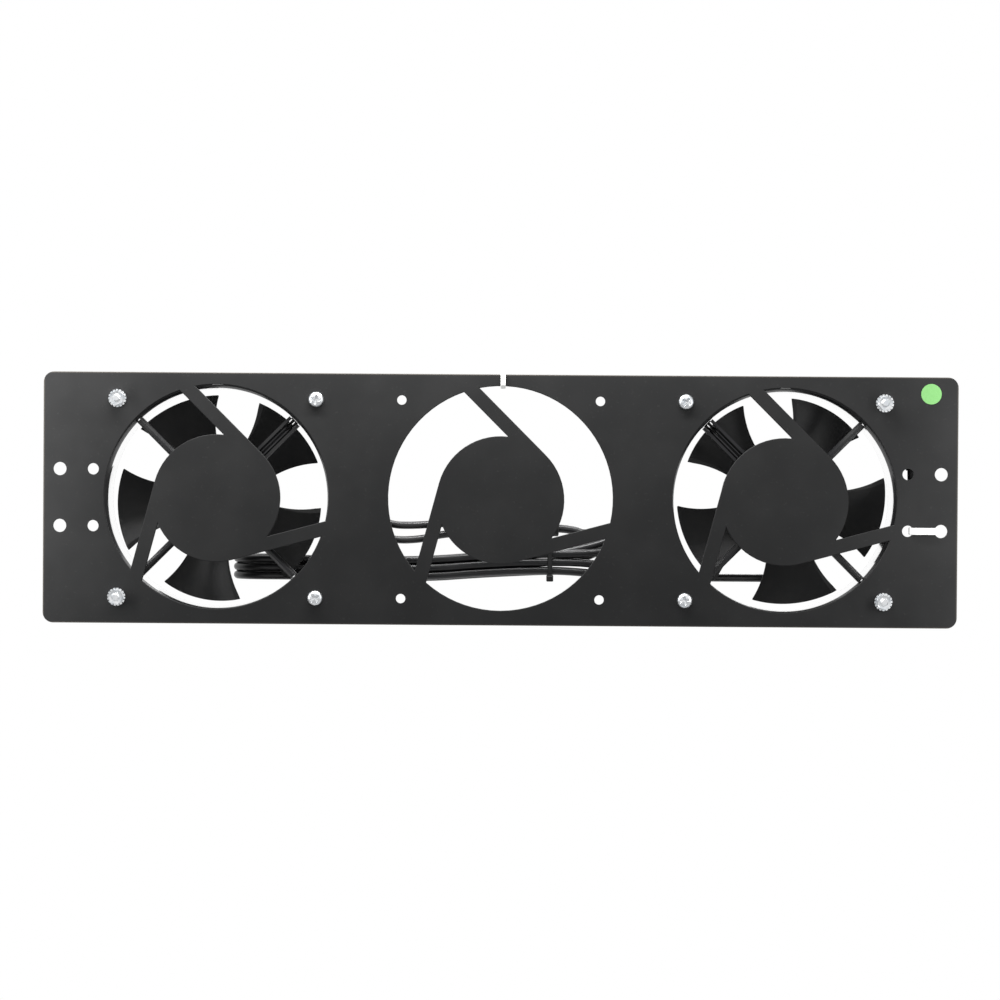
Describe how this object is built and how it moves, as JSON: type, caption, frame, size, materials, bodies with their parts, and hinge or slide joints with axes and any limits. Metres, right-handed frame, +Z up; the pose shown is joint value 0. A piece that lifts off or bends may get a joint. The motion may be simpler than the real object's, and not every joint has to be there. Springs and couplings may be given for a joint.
{
  "type": "rack fan unit",
  "caption": "Rack panel with swirl-guard openings, axial fans behind them, an empty fan position and a tied mains cord.",
  "frame": {"origin": "middle of the panel's rear face, which is the centre of the empty middle bay's four fan holes", "axes": "+X right along the panel, +Y away from the viewer (into the rack), +Z up"},
  "size_m": [0.4826, 0.0809, 0.1338],
  "materials": {
    "panel_paint": "fine charcoal powder coat",
    "green_paper": "pale green label",
    "zinc_steel": "bright zinc plate",
    "bearing_steel": "ground",
    "motor_steel": "plain laminated steel",
    "tube_brass": "turned",
    "copper_wire": "enamelled copper, varnished",
    "nickel_brass": "nickel plated",
    "fan_enamel": "black enamelled casting",
    "impeller_plastic": "black moulding, faint sheen",
    "box_plastic": "black moulding",
    "terminal_plastic": "off-white moulding",
    "plug_plastic": "black moulding",
    "label_film": "blank grey film",
    "pad_foam": "closed-cell foam",
    "black_rubber": "matt",
    "wire_jacket": "soft black sleeve",
    "cord_jacket": "soft black sheath",
    "black_nylon": "black nylon",
    "white_nylon": "milky white nylon"
  },
  "bodies": {
    "frame": {"adhesive_pad": "pad_foam", "box_core_wires": "wire_jacket", "bundle_tie": "black_nylon", "cord_gland": "black_rubber", "green_sticker": "green_paper", "inner_pan_screws": "zinc_steel", "inner_screw_nuts": "zinc_steel", "junction_box_base": "box_plastic", "junction_box_lid": "box_plastic", "last_run_tie": "black_nylon", "left_bearing_tube": "tube_brass", "left_bearings": "bearing_steel", "left_fan_housing": "fan_enamel", "left_fan_lead": "wire_jacket", "left_hank_tie": "black_nylon", "left_rating_label": "label_film", "left_stator_core": "motor_steel", "left_stator_windings": "copper_wire", "left_strut_wires": "wire_jacket", "left_wire_grommet": "black_rubber", "lid_screws": "zinc_steel", "mains_cord_first_run": "cord_jacket", "mains_cord_hank": "cord_jacket", "mains_cord_last_run": "cord_jacket", "outer_nuts": "zinc_steel", "outer_through_bolts": "zinc_steel", "outer_toothed_washers": "zinc_steel", "panel": "panel_paint", "plug_body": "plug_plastic", "plug_pins": "nickel_brass", "plug_strain_relief": "plug_plastic", "right_bearing_tube": "tube_brass", "right_bearings": "bearing_steel", "right_fan_housing": "fan_enamel", "right_fan_lead": "wire_jacket", "right_rating_label": "label_film", "right_stator_core": "motor_steel", "right_stator_windings": "copper_wire", "right_strut_wires": "wire_jacket", "right_wire_grommet": "black_rubber", "side_hole_tie": "white_nylon", "terminal_strip": "terminal_plastic", "top_web_tie": "white_nylon"},
    "left_rotor": {"left_impeller": "impeller_plastic", "left_rotor_ring": "motor_steel", "left_shaft": "bearing_steel", "left_shaft_clip": "bearing_steel"},
    "right_rotor": {"right_impeller": "impeller_plastic", "right_rotor_ring": "motor_steel", "right_shaft": "bearing_steel", "right_shaft_clip": "bearing_steel"}
  },
  "joints": [
    {"name": "left_fan_spin", "type": "hinge", "parent": "frame", "child": "left_rotor", "pos_m": [-0.15, 0.02, 0], "axis": [0, 1, 0], "continuous": true},
    {"name": "right_fan_spin", "type": "hinge", "parent": "frame", "child": "right_rotor", "pos_m": [0.15, 0.02, 0], "axis": [0, 1, 0], "continuous": true}
  ]
}
